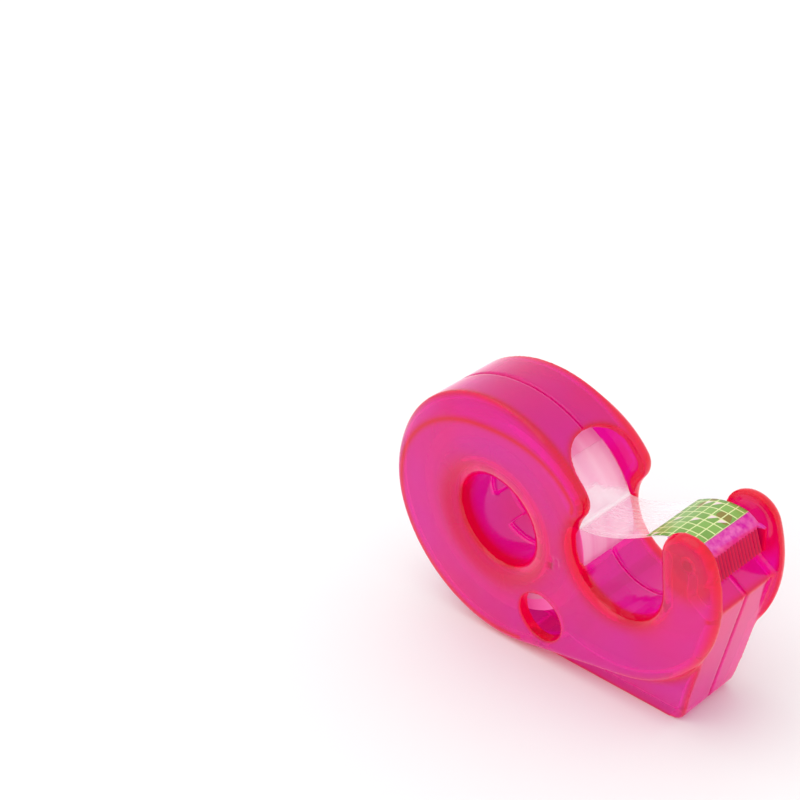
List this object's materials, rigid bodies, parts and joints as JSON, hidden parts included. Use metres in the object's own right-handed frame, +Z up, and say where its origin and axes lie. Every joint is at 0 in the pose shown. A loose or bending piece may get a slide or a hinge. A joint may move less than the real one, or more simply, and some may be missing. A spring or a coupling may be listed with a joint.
{
  "type": "hand tape dispenser",
  "caption": "Snail-shaped translucent hand tape dispenser: two snap-together half shells round a roll on a split hub, with a ribbed cutter at the nose and a starter tab.",
  "frame": {"origin": "centre of the bounding box in plan, on the surface that the foot stands on", "axes": "+X towards the nose and its cutter, +Y across the width towards the right half shell, +Z up"},
  "size_m": [0.0848, 0.0224, 0.0574],
  "materials": {
    "shell_plastic": "translucent fluorescent pink, glossy, with edges that glow red-orange",
    "insert_plastic": "translucent fluorescent pink, glossy",
    "core_plastic": "clear plastic, slightly milky",
    "wound_tape": "wound clear film with fine concentric edges",
    "clear_film": "glossy clear film with light creases",
    "printed_tab": "green film printed with a pale grid"
  },
  "bodies": {
    "left_half": {"left_shell": "shell_plastic", "cutter_insert": "insert_plastic", "tape_strip": "clear_film", "starter_tab": "printed_tab"},
    "right_half": {"right_shell": "shell_plastic"},
    "roll": {"tape_core": "core_plastic", "tape_roll": "wound_tape"}
  },
  "joints": [
    {"name": "roll_spin", "type": "hinge", "parent": "left_half", "child": "roll", "pos_m": [-0.0139, 0, 0.0289], "axis": [0, 1, 0], "continuous": true},
    {"name": "right_shell_pull", "type": "slide", "parent": "left_half", "child": "right_half", "axis": [0, 1, 0], "range_m": [0, 0.03]}
  ]
}
